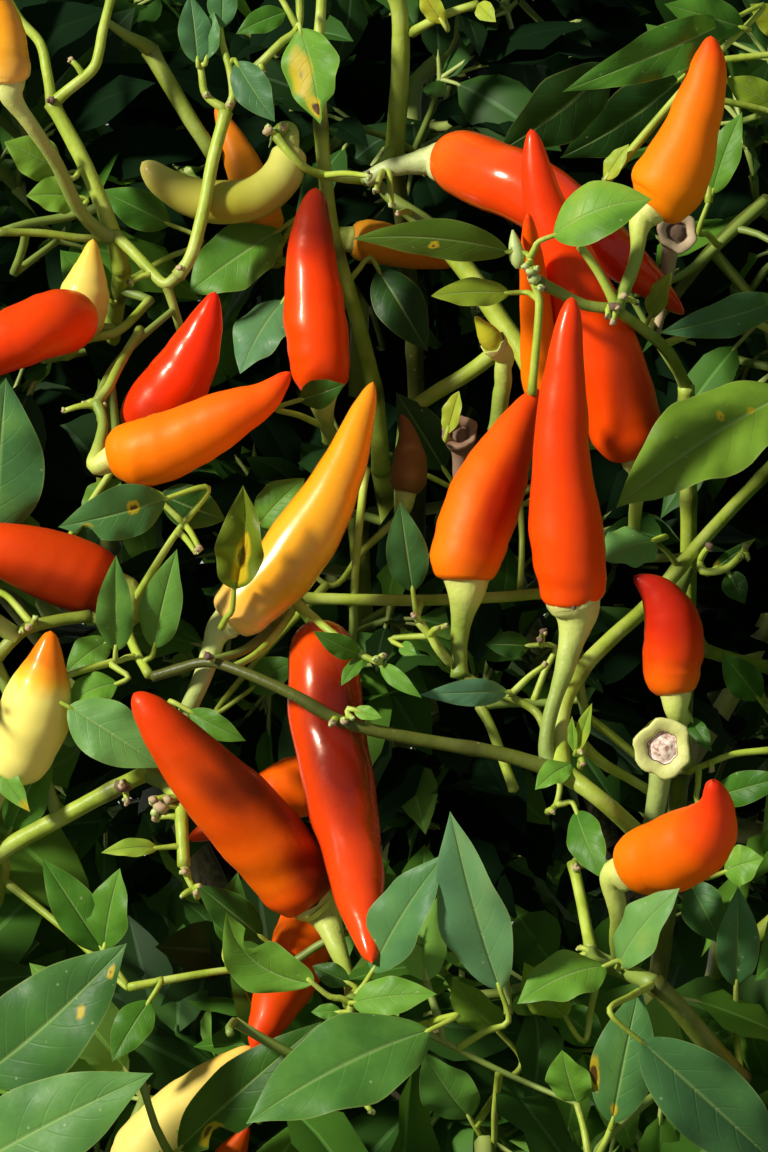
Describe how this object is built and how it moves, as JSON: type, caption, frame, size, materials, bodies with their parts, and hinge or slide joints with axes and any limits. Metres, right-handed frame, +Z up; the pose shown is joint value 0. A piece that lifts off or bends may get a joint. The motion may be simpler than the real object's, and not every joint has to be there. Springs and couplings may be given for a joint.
{
  "type": "chilli pepper plant",
  "caption": "Bushy rooted chilli pepper plant with a forking woody stem, green limbs and separate masses of foliage that carry upright ripening fruits.",
  "frame": {"origin": "middle of the flat cut under the stem, at ground level", "axes": "+Z up, -Y towards the viewer of the plant's front, +X to that viewer's right"},
  "size_m": [0.4539, 0.4206, 0.4208],
  "materials": {
    "woody_stem": "rough brown-green bark, ridged lengthwise",
    "green_stem": "smooth green skin with purple-brown nodes",
    "foliage": "slightly glossy green leaves"
  },
  "bodies": {
    "root": {"bough_back_left": "woody_stem", "bough_back_right": "woody_stem", "bough_centre": "woody_stem", "bough_front_left": "woody_stem", "bough_front_right": "woody_stem", "limb_back_crown": "green_stem", "limb_back_left_out": "green_stem", "limb_back_left_skirt": "green_stem", "limb_back_out": "green_stem", "limb_back_right_out": "green_stem", "limb_back_right_skirt": "green_stem", "limb_centre_back": "green_stem", "limb_centre_rise": "green_stem", "limb_centre_upper": "green_stem", "limb_cross": "green_stem", "limb_front_low": "green_stem", "limb_front_skirt": "green_stem", "limb_left_cross": "green_stem", "limb_left_crown": "green_stem", "limb_left_front_crown": "green_stem", "limb_left_low": "green_stem", "limb_left_rise": "green_stem", "limb_left_skirt": "green_stem", "limb_left_top": "green_stem", "limb_right_arm": "green_stem", "limb_right_crown": "green_stem", "limb_right_front_crown": "green_stem", "limb_right_low": "green_stem", "limb_right_rise": "green_stem", "limb_right_side": "green_stem", "limb_right_skirt": "green_stem", "limb_right_top": "green_stem", "limb_right_upper": "green_stem", "mass_front": "foliage", "mass_heart": "foliage", "mass_ring_back": "foliage", "mass_ring_back_left": "foliage", "mass_ring_back_right": "foliage", "mass_ring_front_left": "foliage", "mass_ring_front_right": "foliage", "mass_ring_left": "foliage", "mass_ring_right": "foliage", "mass_skirt_back_left": "foliage", "mass_skirt_back_right": "foliage", "mass_skirt_front": "foliage", "mass_skirt_left": "foliage", "mass_skirt_right": "foliage", "mass_top_back": "foliage", "mass_top_left": "foliage", "mass_top_left_front": "foliage", "mass_top_right": "foliage", "mass_top_right_front": "foliage", "stem": "woody_stem"}
  },
  "joints": []
}
